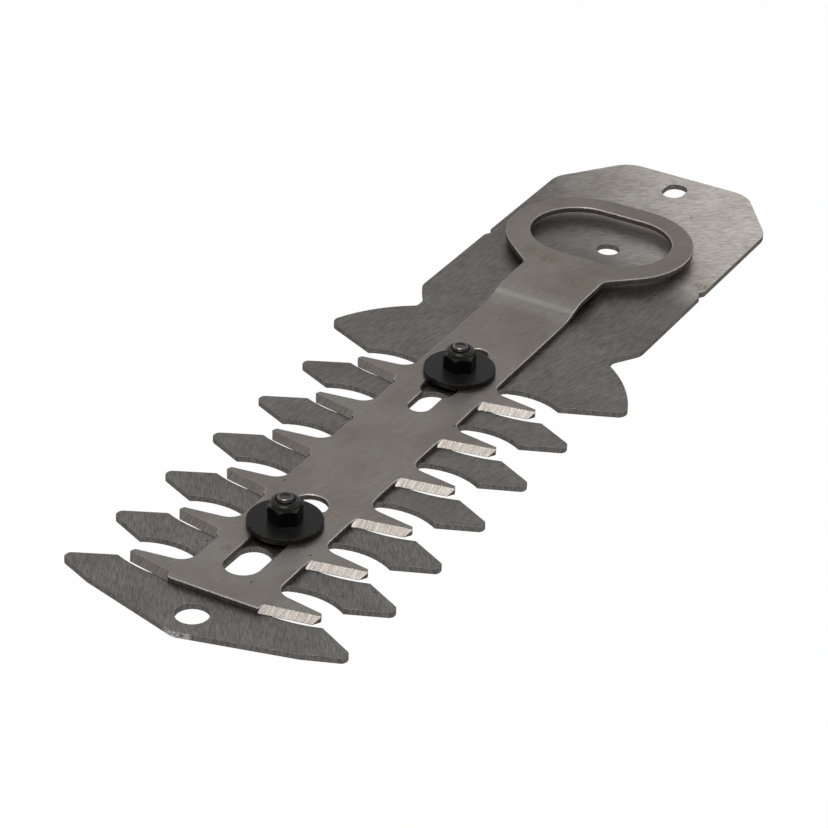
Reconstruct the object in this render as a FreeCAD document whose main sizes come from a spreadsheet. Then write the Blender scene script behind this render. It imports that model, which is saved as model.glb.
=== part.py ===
import FreeCAD
import Part
import math
import os
import re
import Sketcher

# Shrub and hedge shear blade: a fixed comb plate and the cutter that slides on it.
# Frame: +X across the blade, +Y towards the machine, +Z up from the comb's underside.
# The origin is the axis of the round locating hole, under the cutter's drive yoke.

SIZES = {
    # Teeth of both blades
    "tooth_pitch": 20.0,
    "tooth_count": 6,
    # Comb plate
    "comb_thickness": 1.45,
    "wing_offset": 77.5,
    "nose_lead": 7.8,
    "nose_side_lead": 0.4,
    "nose_half_width": 27.0,
    "nose_radius": 4.5,
    "comb_tip_half_width": 35.9,
    "comb_tip_radius": 1.5,
    "barb_half_width": 26.2,
    "barb_lead": 1.0,
    "barb_rear": 10.4,
    "front_flank_angle": 24.0,
    "comb_tip_length": 2.15,
    "comb_root_half_width": 10.4,
    "comb_root_rear": 8.6,
    "comb_root_lead": 0.6,
    "comb_root_radius": 2.5,
    "comb_front_edge_radius": 16.0,
    "comb_rear_edge_radius": 32.0,
    "wing_half_width": 41.2,
    "wing_tip_radius": 2.6,
    "wing_back_radius": 39.0,
    "waist_half_width": 26.8,
    "waist_back": 24.2,
    "waist_length": 3.0,
    "waist_radius": 1.3,
    "plate_half_width": 31.0,
    "plate_front": 34.0,
    "plate_shoulder_radius": 5.0,
    "notch_front": 8.6,
    "notch_depth": 1.0,
    "notch_half_length": 1.6,
    "tail_back": 48.4,
    "tail_half_width": 17.7,
    "tail_chamfer_length": 18.2,
    "tail_radius": 8.0,
    # Holes of the comb plate
    "locating_hole_diameter": 6.0,
    "tail_slot_back": 39.9,
    "tail_slot_width": 6.0,
    "tail_slot_length": 8.2,
    "tip_hole_diameter": 7.8,
    "relief_width": 8.0,
    "relief_length": 16.0,
    "relief_web": 8.9,
    # How far left of their blade's middle the studs, and the cutter's slots and yoke, lie
    "stud_shift": 0.6,
    "punch_shift": 0.45,
    # Cutter
    "cutter_thickness": 1.4,
    "running_gap": 0.06,
    "spine_half_width": 11.0,
    "cutter_front": 7.4,
    "cutter_corner_half_width": 23.1,
    "cutter_corner_front": 9.8,
    "cutter_tip_half_width": 24.2,
    "cutter_tip_front": 11.6,
    "cutter_heel_half_width": 23.7,
    "cutter_heel_front": 12.8,
    "cutter_root_rear": 14.7,
    "cutter_rear_root_radius": 4.0,
    "cutter_front_root_radius": 1.4,
    "cutter_arm_front": 16.0,
    "cutter_tip_radius": 0.4,
    "bevel_run": 1.65,
    "bevel_land": 0.12,
    "bevel_start_half_width": 11.5,
    "bevel_end_radius": 2.6,
    # Guide slots of the cutter
    "slot_width": 8.9,
    "slot_play": 0.53,
    "front_slot_lead": 18.4,
    "front_slot_back": 9.7,
    "rear_slot_lead": 9.2,
    "rear_slot_back": 6.6,
    "narrow_slot_width": 5.8,
    "narrow_slot_lead": 18.8,
    "narrow_slot_back": 9.9,
    # Joggled arm and drive yoke of the cutter
    "joggle_front": 43.0,
    "joggle_length": 7.5,
    "joggle_rise": 2.1,
    "bend_radius": 10.0,
    "yoke_centre_lead": 0.6,
    "yoke_slot_width": 26.6,
    "yoke_end_offset": 5.7,
    "yoke_rim_lead": 1.4,
    "yoke_rim_offset": 4.7,
    "yoke_rim_radius": 20.1,
    "yoke_neck_angle": 48.0,
    "neck_radius": 2.2,
    # Fasteners
    "stud_offset": 38.6,
    "stud_spacing_teeth": 4,
    "fit_clearance": 0.05,
    "stud_diameter": 4.0,
    "stud_neck_diameter": 5.0,
    "stud_head_diameter": 7.4,
    "stud_head_thickness": 0.7,
    "stud_end_height": 6.0,
    "stud_end_chamfer": 0.5,
    "washer_diameter": 17.5,
    "washer_thickness": 1.45,
    "washer_edge_chamfer": 0.15,
    "washer_clearance": 0.1,
    "nut_width": 7.0,
    "nut_hex_height": 3.5,
    "nut_height": 5.2,
    "nut_corner_chamfer_angle": 30.0,
    "nut_collar_diameter": 6.7,
    "nut_collar_radius": 0.75,
    "nut_mouth_diameter": 4.7,
    "nut_lip_thickness": 0.4,
    "insert_outer_diameter": 5.6,
    "insert_height": 1.2,
    "front_nut_turn": 9.3,
    "rear_nut_turn": 9.0,
    # How far a cut reaches past the solid it trims
    "trim_margin": 2.0,
}

# Tolerances for finding edges and for noticing that a cut took nothing away
SAME_LINE = 1e-4
SAME_PLACE = 1e-3
LEAST_VOLUME = 1e-6

doc = FreeCAD.newDocument("hedge_blade")
sheet = doc.addObject("Spreadsheet::Sheet", "Sizes")
for row, (alias, number) in enumerate(SIZES.items(), start=1):
    sheet.set(f"A{row}", alias)
    sheet.set(f"B{row}", str(number))
    sheet.setAlias(f"B{row}", alias)
doc.recompute()

# Rules for places along the blade, in the sheet's names
TIP_HOLE_Y = "-(wing_offset + tooth_count * tooth_pitch)"
WING_Y = "-wing_offset"
FRONT_STUD_Y = f"({TIP_HOLE_Y} + stud_offset)"
REAR_STUD_Y = f"({FRONT_STUD_Y} + stud_spacing_teeth * tooth_pitch)"
STUD_X = "-stud_shift"
PUNCH_X = "-punch_shift"
YOKE_Y = "-yoke_centre_lead"
TIP_FRONT = "(comb_tip_half_width - barb_half_width) * tan(front_flank_angle) - barb_lead"
TIP_REAR = f"{TIP_FRONT} + comb_tip_length"
WING_FRONT = "(wing_half_width - barb_half_width) * tan(front_flank_angle) - barb_lead"

# Rules for heights
CUTTER_Z = "(comb_thickness + running_gap)"
BUSH_HEIGHT = "(cutter_thickness + 2 * running_gap)"
WASHER_Z = f"(comb_thickness + {BUSH_HEIGHT})"
NUT_Z = f"({WASHER_Z} + washer_thickness)"
ALL_THROUGH = f"{CUTTER_Z} + joggle_rise + cutter_thickness + trim_margin"

# Rules for the cutter's play: it leans across its two bushes as far as its slots let it
HALF_SPACING = "(stud_spacing_teeth * tooth_pitch / 2)"
LEAN = f"((slot_play - fit_clearance) / {HALF_SPACING})"
PIVOT_Y = f"({FRONT_STUD_Y} + {HALF_SPACING})"
BUSH_DIAMETER = "slot_width - 2 * slot_play"

# Rules for the yoke's slot and rim
YOKE_INNER = "(yoke_slot_width / 2)"
RIM_Y = "-yoke_rim_lead"
YOKE_BACK = f"({RIM_Y} + yoke_rim_radius)"


def linked(rule):
    """Turn a rule in the sheet's names into one that reads the sheet."""
    def cell(match):
        word = match.group(0)
        return f"Sizes.{word}" if word in SIZES else word
    return re.sub(r"[a-z_]+", cell, str(rule))


def trig_ready(rule):
    """Give each angle in a rule its unit of degrees, which the trigonometry needs."""
    return re.sub(r"(tan|sin|cos)\((\w+)\)", r"\1(\2 * 1 deg)", str(rule))


def bound(rule):
    """The full expression for a rule."""
    return linked(trig_ready(rule))


def value(rule):
    """The number that a rule has now."""
    result = sheet.evalExpression(bound(rule))
    return float(getattr(result, "Value", result))


def new_body(name):
    """Start a body whose name is also its label."""
    body = doc.addObject("PartDesign::Body", name)
    body.Label = name
    return body


def plane_of(body, role):
    """One of a body's own origin planes or axes."""
    return next(item for item in body.Origin.OriginFeatures if item.Role == role)


def new_sketch(body, name, role="XY_Plane"):
    """Lay a sketch on one of the body's origin planes."""
    sketch = body.newObject("Sketcher::SketchObject", name)
    sketch.AttachmentSupport = (plane_of(body, role), "")
    sketch.MapMode = "FlatFace"
    return sketch


def place_point(sketch, edge, end, x_rule, y_rule):
    """Fix one end of an edge at a place given by two rules."""
    if x_rule == "0":
        sketch.addConstraint(Sketcher.Constraint("PointOnObject", edge, end, -2))
    else:
        constraint = Sketcher.Constraint("DistanceX", -1, 1, edge, end, value(x_rule))
        number = sketch.addConstraint(constraint)
        sketch.setExpression(f"Constraints[{number}]", bound(x_rule))
    if y_rule == "0":
        sketch.addConstraint(Sketcher.Constraint("PointOnObject", edge, end, -1))
    else:
        constraint = Sketcher.Constraint("DistanceY", -1, 1, edge, end, value(y_rule))
        number = sketch.addConstraint(constraint)
        sketch.setExpression(f"Constraints[{number}]", bound(y_rule))


def arc_between(start, end, radius, turn):
    """The arc from start to end, turning left (1) or right (-1), and which of its ends is start."""
    chord = end - start
    middle = (start + end) * 0.5
    normal = FreeCAD.Vector(-chord.y, chord.x, 0).normalize()
    centre = middle + normal * turn * math.sqrt(radius ** 2 - (chord.Length / 2) ** 2)
    first, last = (start, end) if turn > 0 else (end, start)
    angles = [math.atan2(point.y - centre.y, point.x - centre.x) for point in (first, last)]
    circle = Part.Circle(centre, FreeCAD.Vector(0, 0, 1), radius)
    return Part.ArcOfCircle(circle, angles[0], angles[1])


def draw_outline(sketch, corners):
    """Draw a closed outline. A corner is (x, y) or (x, y, radius, turn) where an arc leaves it."""
    points = [FreeCAD.Vector(value(corner[0]), value(corner[1]), 0) for corner in corners]
    ends = []
    for number, corner in enumerate(corners):
        start = points[number]
        end = points[(number + 1) % len(corners)]
        if len(corner) > 2:
            radius_rule, turn = corner[2], corner[3]
            edge = sketch.addGeometry(arc_between(start, end, value(radius_rule), turn))
            constraint = Sketcher.Constraint("Radius", edge, value(radius_rule))
            place = sketch.addConstraint(constraint)
            sketch.setExpression(f"Constraints[{place}]", bound(radius_rule))
            ends.append((edge, 1, 2) if turn > 0 else (edge, 2, 1))
        else:
            edge = sketch.addGeometry(Part.LineSegment(start, end))
            ends.append((edge, 1, 2))
    for number, (edge, start_end, _) in enumerate(ends):
        before, _, before_end = ends[number - 1]
        sketch.addConstraint(Sketcher.Constraint("Coincident", before, before_end, edge, start_end))
        place_point(sketch, edge, start_end, corners[number][0], corners[number][1])


def both_sides(half, other=None):
    """Complete a right half outline, listed from front to back, with a mirrored left half."""
    other = other or half
    left = []
    for number in range(len(other) - 1, -1, -1):
        x_rule, y_rule = other[number][:2]
        if x_rule == "0":
            continue
        arc = other[number - 1][2:] if number > 0 else ()
        left.append((f"-({x_rule})", y_rule) + tuple(arc))
    return half + left


def one_side(corners, side):
    """A right-hand outline as it is, or its mirror image on the left."""
    if side > 0:
        return corners
    flipped = []
    for corner in corners:
        turned = (corner[2], -corner[3]) if len(corner) > 2 else ()
        flipped.append((f"-({corner[0]})", corner[1]) + turned)
    return flipped


def draw_circle(sketch, x_rule, y_rule, diameter_rule):
    """Draw a circle whose centre and diameter follow rules."""
    centre = FreeCAD.Vector(value(x_rule), value(y_rule), 0)
    circle = Part.Circle(centre, FreeCAD.Vector(0, 0, 1), value(diameter_rule) / 2)
    edge = sketch.addGeometry(circle)
    number = sketch.addConstraint(Sketcher.Constraint("Diameter", edge, value(diameter_rule)))
    sketch.setExpression(f"Constraints[{number}]", bound(diameter_rule))
    place_point(sketch, edge, 3, x_rule, y_rule)


def draw_slot(sketch, x_rule, front_rule, back_rule, width_rule):
    """Draw a lengthwise slot with round ends, given the places of its two end centres."""
    half = value(width_rule) / 2
    middle, front, back = value(x_rule), value(front_rule), value(back_rule)
    right_x, left_x = middle + half, middle - half
    corners = [(right_x, front), (right_x, back), (left_x, back), (left_x, front)]
    points = [FreeCAD.Vector(x, y, 0) for x, y in corners]
    upward = FreeCAD.Vector(0, 0, 1)
    right = sketch.addGeometry(Part.LineSegment(points[0], points[1]))
    back_circle = Part.Circle(FreeCAD.Vector(middle, back, 0), upward, half)
    back_end = sketch.addGeometry(Part.ArcOfCircle(back_circle, 0, math.pi))
    left = sketch.addGeometry(Part.LineSegment(points[2], points[3]))
    front_circle = Part.Circle(FreeCAD.Vector(middle, front, 0), upward, half)
    front_end = sketch.addGeometry(Part.ArcOfCircle(front_circle, math.pi, 2 * math.pi))
    around = [right, back_end, left, front_end]
    for number, edge in enumerate(around):
        constraint = Sketcher.Constraint("Coincident", around[number - 1], 2, edge, 1)
        sketch.addConstraint(constraint)
    right_rule = f"{x_rule} + ({width_rule}) / 2"
    left_rule = f"{x_rule} - ({width_rule}) / 2"
    place_point(sketch, right, 1, right_rule, front_rule)
    place_point(sketch, right, 2, right_rule, back_rule)
    place_point(sketch, left, 1, left_rule, back_rule)
    place_point(sketch, left, 2, left_rule, front_rule)
    for edge, y_rule in ((back_end, back_rule), (front_end, front_rule)):
        constraint = Sketcher.Constraint("DistanceY", -1, 1, edge, 3, value(y_rule))
        number = sketch.addConstraint(constraint)
        sketch.setExpression(f"Constraints[{number}]", bound(y_rule))


def pad(body, sketch, name, length_rule, midplane=False):
    """Raise a sketch into a solid."""
    feature = body.newObject("PartDesign::Pad", name)
    feature.Profile = sketch
    feature.SideType = "Symmetric" if midplane else "One side"
    feature.setExpression("Length", bound(length_rule))
    doc.recompute()
    return feature


def pocket(body, sketch, name, length_rule):
    """Cut a sketch out of the solid, upwards from the sketch."""
    before = body.Shape.Volume
    feature = body.newObject("PartDesign::Pocket", name)
    feature.Profile = sketch
    feature.Reversed = True
    feature.setExpression("Length", bound(length_rule))
    doc.recompute()
    if not feature.Shape.Volume < before - LEAST_VOLUME:
        raise RuntimeError(f"{name} cuts nothing")
    return feature


def repeat(body, originals, name):
    """Repeat cuts once for each tooth, a pitch apart along the blade."""
    before = body.Shape.Volume
    feature = body.newObject("PartDesign::LinearPattern", name)
    feature.Originals = originals
    feature.Direction = (plane_of(body, "Y_Axis"), [""])
    feature.setExpression("Occurrences", bound("tooth_count"))
    feature.setExpression("Length", bound("(tooth_count - 1) * tooth_pitch"))
    body.Tip = feature
    doc.recompute()
    if not feature.Shape.Volume < before - LEAST_VOLUME:
        raise RuntimeError(f"{name} repeats nothing")
    return feature


def upright_edges(shape, places):
    """The names of a shape's vertical edges at the given places in plan."""
    names = []
    for number, edge in enumerate(shape.Edges, start=1):
        if len(edge.Vertexes) != 2:
            continue
        low, high = (vertex.Point for vertex in edge.Vertexes)
        upright = abs(low.x - high.x) < SAME_LINE and abs(low.y - high.y) < SAME_LINE
        if upright and any(math.hypot(low.x - x, low.y - y) < SAME_PLACE for x, y in places):
            names.append(f"Edge{number}")
    return names


def crossing_edges(shape, places):
    """The names of a shape's edges along X that pass the given (y, z) places."""
    names = []
    for number, edge in enumerate(shape.Edges, start=1):
        low, high = (vertex.Point for vertex in edge.Vertexes)
        across = abs(low.y - high.y) < SAME_LINE and abs(low.z - high.z) < SAME_LINE
        if across and any(math.hypot(low.y - y, low.z - z) < SAME_PLACE for y, z in places):
            names.append(f"Edge{number}")
    return names


def round_off(body, name, edges, radius_rule):
    """Fillet some edges of the body's last feature."""
    if not edges:
        raise RuntimeError(f"{name} finds no edge")
    base = body.Tip
    feature = body.newObject("PartDesign::Fillet", name)
    feature.Base = (base, edges)
    feature.setExpression("Radius", bound(radius_rule))
    doc.recompute()
    return feature


def mirrored_places(rules):
    """The places of some corners on both sides of the blade."""
    places = []
    for rule in rules:
        x, y = value(rule[0]), value(rule[1])
        places.extend([(x, y), (-x, y)])
    return places


def tooth_y(tooth):
    """The rule for the datum of one tooth, counted from the tip hole."""
    return f"{TIP_HOLE_Y} + {tooth} * tooth_pitch"


def comb_corners():
    """Right half of the comb plate before the gullets are cut, from the nose to the tail."""
    notch_y = "-notch_front"
    return {
        "nose": ("0", f"{TIP_HOLE_Y} - nose_lead"),
        "nose_side": ("nose_half_width", f"{TIP_HOLE_Y} - nose_side_lead"),
        "first_tip": ("comb_tip_half_width", f"{TIP_HOLE_Y} + {TIP_FRONT}"),
        "wing_start": ("comb_tip_half_width", f"{WING_Y} + {TIP_FRONT}"),
        "wing_tip": ("wing_half_width", f"{WING_Y} + {WING_FRONT}", "wing_back_radius", 1),
        "waist_front": ("waist_half_width", f"{WING_Y} + waist_back"),
        "waist_back": ("waist_half_width", f"{WING_Y} + waist_back + waist_length"),
        "shoulder": ("plate_half_width", f"{WING_Y} + plate_front"),
        "notch_front": ("plate_half_width", f"{notch_y} - notch_half_length"),
        "notch": ("plate_half_width - notch_depth", notch_y),
        "notch_back": ("plate_half_width", f"{notch_y} + notch_half_length"),
        "tail_side": ("plate_half_width", "tail_back - tail_chamfer_length"),
        "tail_end": ("tail_half_width", "tail_back"),
    }


def comb_gullet(y_rule):
    """The gap behind one comb tooth, open to the right, up to the front of the next."""
    reach = "(wing_half_width + barb_lead)"
    rear_slope = f"(barb_rear - ({TIP_REAR})) / (comb_tip_half_width - barb_half_width)"
    rear_drop = f"({reach} - barb_half_width) * {rear_slope}"
    front_rise = f"({reach} - barb_half_width) * tan(front_flank_angle)"
    return [
        ("comb_root_half_width", f"{y_rule} + comb_root_rear", "comb_rear_edge_radius", 1),
        ("barb_half_width", f"{y_rule} + barb_rear"),
        (reach, f"{y_rule} + barb_rear - {rear_drop}"),
        (reach, f"{y_rule} + tooth_pitch - barb_lead + {front_rise}"),
        ("barb_half_width", f"{y_rule} + tooth_pitch - barb_lead", "comb_front_edge_radius", 1),
        ("comb_root_half_width", f"{y_rule} + tooth_pitch - comb_root_lead"),
    ]


def make_lower_blade():
    """The fixed comb: one stamped plate."""
    body = new_body("lower_blade")
    corners = comb_corners()
    outline = new_sketch(body, "comb_outline")
    draw_outline(outline, both_sides(list(corners.values())))
    pad(body, outline, "comb_plate", "comb_thickness")

    gullet = new_sketch(body, "comb_gullet")
    for side in (1, -1):
        draw_outline(gullet, one_side(comb_gullet(TIP_HOLE_Y), side))
    first = pocket(body, gullet, "comb_gullets", "comb_thickness")
    repeat(body, [first], "comb_teeth")

    roots = []
    tips = [corners["first_tip"]]
    for tooth in range(int(value("tooth_count"))):
        datum = tooth_y(tooth)
        roots.append(("comb_root_half_width", f"{datum} + comb_root_rear"))
        roots.append(("comb_root_half_width", f"{datum} + tooth_pitch - comb_root_lead"))
        tips.append(("comb_tip_half_width", f"{datum} + {TIP_REAR}"))
        if tooth > 0:
            tips.append(("comb_tip_half_width", f"{datum} + {TIP_FRONT}"))
    rounds = [
        ("comb_root_rounds", roots, "comb_root_radius"),
        ("comb_tip_rounds", tips, "comb_tip_radius"),
        ("wing_tip_rounds", [corners["wing_tip"]], "wing_tip_radius"),
        ("waist_rounds", [corners["waist_front"], corners["waist_back"]], "waist_radius"),
        ("shoulder_rounds", [corners["shoulder"]], "plate_shoulder_radius"),
        ("tail_rounds", [corners["tail_side"], corners["tail_end"]], "tail_radius"),
    ]
    for name, rules, radius_rule in rounds:
        edges = upright_edges(body.Shape, mirrored_places(rules))
        round_off(body, name, edges, radius_rule)
    nose = upright_edges(body.Shape, mirrored_places([corners["nose"]]))
    round_off(body, "nose_round", nose, "nose_radius")

    holes = new_sketch(body, "comb_holes")
    draw_circle(holes, "0", "0", "locating_hole_diameter")
    draw_circle(holes, "0", TIP_HOLE_Y, "tip_hole_diameter")
    tail_half = "(tail_slot_length - tail_slot_width) / 2"
    tail_ends = (f"tail_slot_back - {tail_half}", f"tail_slot_back + {tail_half}")
    draw_slot(holes, "0", *tail_ends, "tail_slot_width")
    for stud_y in (FRONT_STUD_Y, REAR_STUD_Y):
        draw_circle(holes, STUD_X, stud_y, "stud_neck_diameter + 2 * fit_clearance")
        near = f"({stud_y} - relief_web - relief_width / 2)"
        far = f"({near} - relief_length + relief_width)"
        draw_slot(holes, STUD_X, far, near, "relief_width")
        near = f"({stud_y} + relief_web + relief_width / 2)"
        far = f"({near} + relief_length - relief_width)"
        draw_slot(holes, STUD_X, near, far, "relief_width")
    pocket(body, holes, "comb_piercings", "comb_thickness")

    seats = new_sketch(body, "stud_head_seats")
    for stud_y in (FRONT_STUD_Y, REAR_STUD_Y):
        draw_circle(seats, STUD_X, stud_y, "stud_head_diameter + 2 * fit_clearance")
    pocket(body, seats, "stud_head_counterbores", "stud_head_thickness + fit_clearance")
    return body


def cutter_side_profile():
    """The cutter seen from the side: flat, joggled up over the plate, and flat again."""
    back = f"({YOKE_BACK} + trim_margin)"
    slope = "atan2(joggle_rise; joggle_length)"
    shift = f"cutter_thickness * tan({slope} / 2)"
    lower = "-joggle_front"
    upper = "(joggle_length - joggle_front)"
    low = CUTTER_Z
    high = f"({CUTTER_Z} + joggle_rise)"
    return {
        "front_under": (TIP_HOLE_Y, low),
        "low_bend_under": (lower, low),
        "high_bend_under": (upper, high),
        "back_under": (back, high),
        "back_top": (back, f"{high} + cutter_thickness"),
        "high_bend_top": (f"{upper} - {shift}", f"{high} + cutter_thickness"),
        "low_bend_top": (f"{lower} - {shift}", f"{low} + cutter_thickness"),
        "front_top": (TIP_HOLE_Y, f"{low} + cutter_thickness"),
    }


def rim_reach(rule, side):
    """How far out a point of the yoke lies on one side (1 right, -1 left) of the cutter's middle."""
    return f"({rule} - {side} * punch_shift)"


def yoke_shoulder(side):
    """Where the yoke's round end meets its straight shoulder, and the neck corner after it."""
    shoulder_x = rim_reach("yoke_rim_offset + yoke_rim_radius * cos(yoke_neck_angle)", side)
    shoulder_y = f"({RIM_Y} - yoke_rim_radius * sin(yoke_neck_angle))"
    neck_drop = f"({shoulder_x} - spine_half_width) / tan(yoke_neck_angle)"
    neck = ("spine_half_width", f"{shoulder_y} - {neck_drop}")
    return (shoulder_x, shoulder_y), neck


def cutter_outline(side):
    """One half of the cutter's blank in plan, with the teeth's gullets still uncut."""
    reach = "(cutter_tip_half_width + trim_margin)"
    arm_front = f"{tooth_y('(tooth_count - 1)')} + cutter_arm_front"
    shoulder, neck = yoke_shoulder(side)
    return [
        ("spine_half_width", f"{TIP_HOLE_Y} + cutter_front"),
        ("cutter_corner_half_width", f"{TIP_HOLE_Y} + cutter_corner_front"),
        ("cutter_tip_half_width", f"{TIP_HOLE_Y} + cutter_tip_front"),
        (reach, f"{TIP_HOLE_Y} + cutter_tip_front"),
        (reach, arm_front),
        ("spine_half_width", arm_front),
        neck,
        (shoulder[0], shoulder[1], "yoke_rim_radius", 1),
        (rim_reach("yoke_rim_offset + yoke_rim_radius", side), RIM_Y, "yoke_rim_radius", 1),
        (rim_reach("yoke_rim_offset", side), YOKE_BACK),
    ]


def cutter_gullet(y_rule):
    """The gap behind one cutter tooth, open to the right, up to the edge of the next."""
    reach = "(cutter_tip_half_width + 2 * trim_margin)"
    return [
        ("spine_half_width", f"{y_rule} + cutter_root_rear"),
        ("cutter_heel_half_width", f"{y_rule} + cutter_heel_front"),
        ("cutter_tip_half_width", f"{y_rule} + cutter_tip_front"),
        (reach, f"{y_rule} + cutter_tip_front"),
        (reach, f"{y_rule} + tooth_pitch + cutter_tip_front"),
        ("cutter_tip_half_width", f"{y_rule} + tooth_pitch + cutter_tip_front"),
        ("cutter_corner_half_width", f"{y_rule} + tooth_pitch + cutter_corner_front"),
        ("spine_half_width", f"{y_rule} + tooth_pitch + cutter_front"),
    ]


def grind_sketch(body, side):
    """The ground bevel of the first tooth on one side: a sketch in the bevel's own plane."""
    edge_run = value("cutter_corner_half_width - spine_half_width")
    edge_rise = value("cutter_corner_front - cutter_front")
    edge_angle = math.degrees(math.atan2(edge_rise, edge_run))
    bevel_height = value("cutter_thickness - bevel_land")
    bevel_angle = math.degrees(math.atan2(bevel_height, value("bevel_run")))
    bevel_length = math.hypot(bevel_height, value("bevel_run"))
    start = FreeCAD.Vector(
        side * value("spine_half_width"),
        value(f"{TIP_HOLE_Y} + cutter_front"),
        value(f"{CUTTER_Z} + bevel_land"),
    )
    swing = FreeCAD.Rotation(FreeCAD.Vector(0, 0, 1), side * edge_angle)
    tilt = FreeCAD.Rotation(FreeCAD.Vector(1, 0, 0), bevel_angle)
    sketch = new_sketch(body, "left_grind" if side < 0 else "right_grind")
    sketch.AttachmentOffset = FreeCAD.Placement(start, swing.multiply(tilt))
    inner_end = f"(bevel_start_half_width - spine_half_width - {side} * punch_shift)"
    top = "(bevel_land + bevel_end_radius)"
    if bevel_length > value(top):
        raise RuntimeError("the grind's end is shorter than the bevel")
    corners = [
        (inner_end, "-bevel_run"),
        (inner_end, "bevel_land", "bevel_end_radius", -1),
        (f"{inner_end} + bevel_end_radius", top),
        ("cutter_tip_half_width", top),
        ("cutter_tip_half_width", "-bevel_run"),
    ]
    draw_outline(sketch, one_side(corners, side))
    return sketch


def make_upper_blade():
    """The sliding cutter: stamped, joggled and ground on the front edge of each tooth."""
    body = new_body("upper_blade")
    profile = new_sketch(body, "cutter_side", "YZ_Plane")
    side = cutter_side_profile()
    draw_outline(profile, list(side.values()))
    pad(body, profile, "cutter_strip", "2 * (cutter_tip_half_width + 2 * trim_margin)", midplane=True)
    bends = [
        ("outer_bends", ("low_bend_under", "high_bend_top"), "bend_radius + cutter_thickness"),
        ("inner_bends", ("high_bend_under", "low_bend_top"), "bend_radius"),
    ]
    for name, corners, radius_rule in bends:
        places = [(value(side[corner][0]), value(side[corner][1])) for corner in corners]
        round_off(body, name, crossing_edges(body.Shape, places), radius_rule)

    blank = new_sketch(body, "cutter_blank")
    draw_outline(blank, both_sides(cutter_outline(1), cutter_outline(-1)))
    around = [
        ("cutter_tip_half_width + 3 * trim_margin", f"{TIP_HOLE_Y} - trim_margin"),
        ("cutter_tip_half_width + 3 * trim_margin", f"{YOKE_BACK} + 2 * trim_margin"),
    ]
    draw_outline(blank, both_sides(around))
    pocket(body, blank, "cutter_trim", ALL_THROUGH)

    gullet = new_sketch(body, "cutter_gullet")
    for side in (1, -1):
        draw_outline(gullet, one_side(cutter_gullet(TIP_HOLE_Y), side))
    first = pocket(body, gullet, "cutter_gullets", ALL_THROUGH)
    repeat(body, [first], "cutter_teeth")

    rear_roots = []
    front_roots = []
    tips = []
    for tooth in range(int(value("tooth_count"))):
        datum = tooth_y(tooth)
        rear_roots.append(("spine_half_width", f"{datum} + cutter_root_rear"))
        if tooth > 0:
            front_roots.append(("spine_half_width", f"{datum} + cutter_front"))
        for corner in ("cutter_corner", "cutter_tip", "cutter_heel"):
            tips.append((f"{corner}_half_width", f"{datum} + {corner}_front"))
    necks = [yoke_shoulder(side)[1] for side in (1, -1)]
    rounds = [
        ("rear_root_rounds", rear_roots, "cutter_rear_root_radius"),
        ("front_root_rounds", front_roots, "cutter_front_root_radius"),
        ("cutter_tip_rounds", tips, "cutter_tip_radius"),
        ("neck_rounds", necks, "neck_radius"),
    ]
    for name, rules, radius_rule in rounds:
        edges = upright_edges(body.Shape, mirrored_places(rules))
        round_off(body, name, edges, radius_rule)

    grind_depth = "cutter_thickness + trim_margin"
    grinds = [
        pocket(body, grind_sketch(body, 1), "right_bevel", grind_depth),
        pocket(body, grind_sketch(body, -1), "left_bevel", grind_depth),
    ]
    repeat(body, grinds, "tooth_bevels")

    slots = new_sketch(body, "guide_slots")
    front = (f"{FRONT_STUD_Y} - front_slot_lead", f"{FRONT_STUD_Y} + front_slot_back")
    draw_slot(slots, PUNCH_X, *front, "slot_width")
    rear = (f"{REAR_STUD_Y} - rear_slot_lead", f"{REAR_STUD_Y} + rear_slot_back")
    draw_slot(slots, PUNCH_X, *rear, "slot_width")
    pocket(body, slots, "guide_slot_cuts", ALL_THROUGH)
    narrow = new_sketch(body, "narrow_slot")
    ends = (f"{REAR_STUD_Y} - narrow_slot_lead", f"{REAR_STUD_Y} + narrow_slot_back")
    draw_slot(narrow, PUNCH_X, *ends, "narrow_slot_width")
    pocket(body, narrow, "narrow_slot_cut", ALL_THROUGH)

    opening = new_sketch(body, "yoke_opening")
    draw_outline(opening, [
        (f"{PUNCH_X} + yoke_end_offset", f"{YOKE_Y} - {YOKE_INNER}", YOKE_INNER, 1),
        (f"{PUNCH_X} + yoke_end_offset + {YOKE_INNER}", YOKE_Y, YOKE_INNER, 1),
        (f"{PUNCH_X} + yoke_end_offset", f"{YOKE_Y} + {YOKE_INNER}"),
        (f"{PUNCH_X} - yoke_end_offset", f"{YOKE_Y} + {YOKE_INNER}", YOKE_INNER, 1),
        (f"{PUNCH_X} - yoke_end_offset - {YOKE_INNER}", YOKE_Y, YOKE_INNER, 1),
        (f"{PUNCH_X} - yoke_end_offset", f"{YOKE_Y} - {YOKE_INNER}"),
    ])
    pocket(body, opening, "yoke_slot", ALL_THROUGH)
    body.setExpression(".Placement.Base.x", bound(f"punch_shift - stud_shift + {LEAN} * {PIVOT_Y}"))
    body.setExpression(".Placement.Base.y", bound(f"{PIVOT_Y} * (1 - sqrt(1 - {LEAN} * {LEAN}))"))
    body.setExpression(".Placement.Rotation.Angle", bound(f"asin({LEAN})"))
    return body


def ring(name, inner_rule, outer_rule, height_rule):
    """A flat ring."""
    body = new_body(name)
    section = new_sketch(body, f"{name}_outline")
    draw_circle(section, "0", "0", outer_rule)
    draw_circle(section, "0", "0", inner_rule)
    pad(body, section, f"{name}_ring", height_rule)
    return body


def spin(body, sketch, name, cut=False):
    """Turn a half section about the body's vertical axis."""
    kind = "PartDesign::Groove" if cut else "PartDesign::Revolution"
    feature = body.newObject(kind, name)
    feature.Profile = sketch
    feature.ReferenceAxis = (plane_of(body, "Z_Axis"), [""])
    feature.Angle = 360
    doc.recompute()
    return feature


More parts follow.
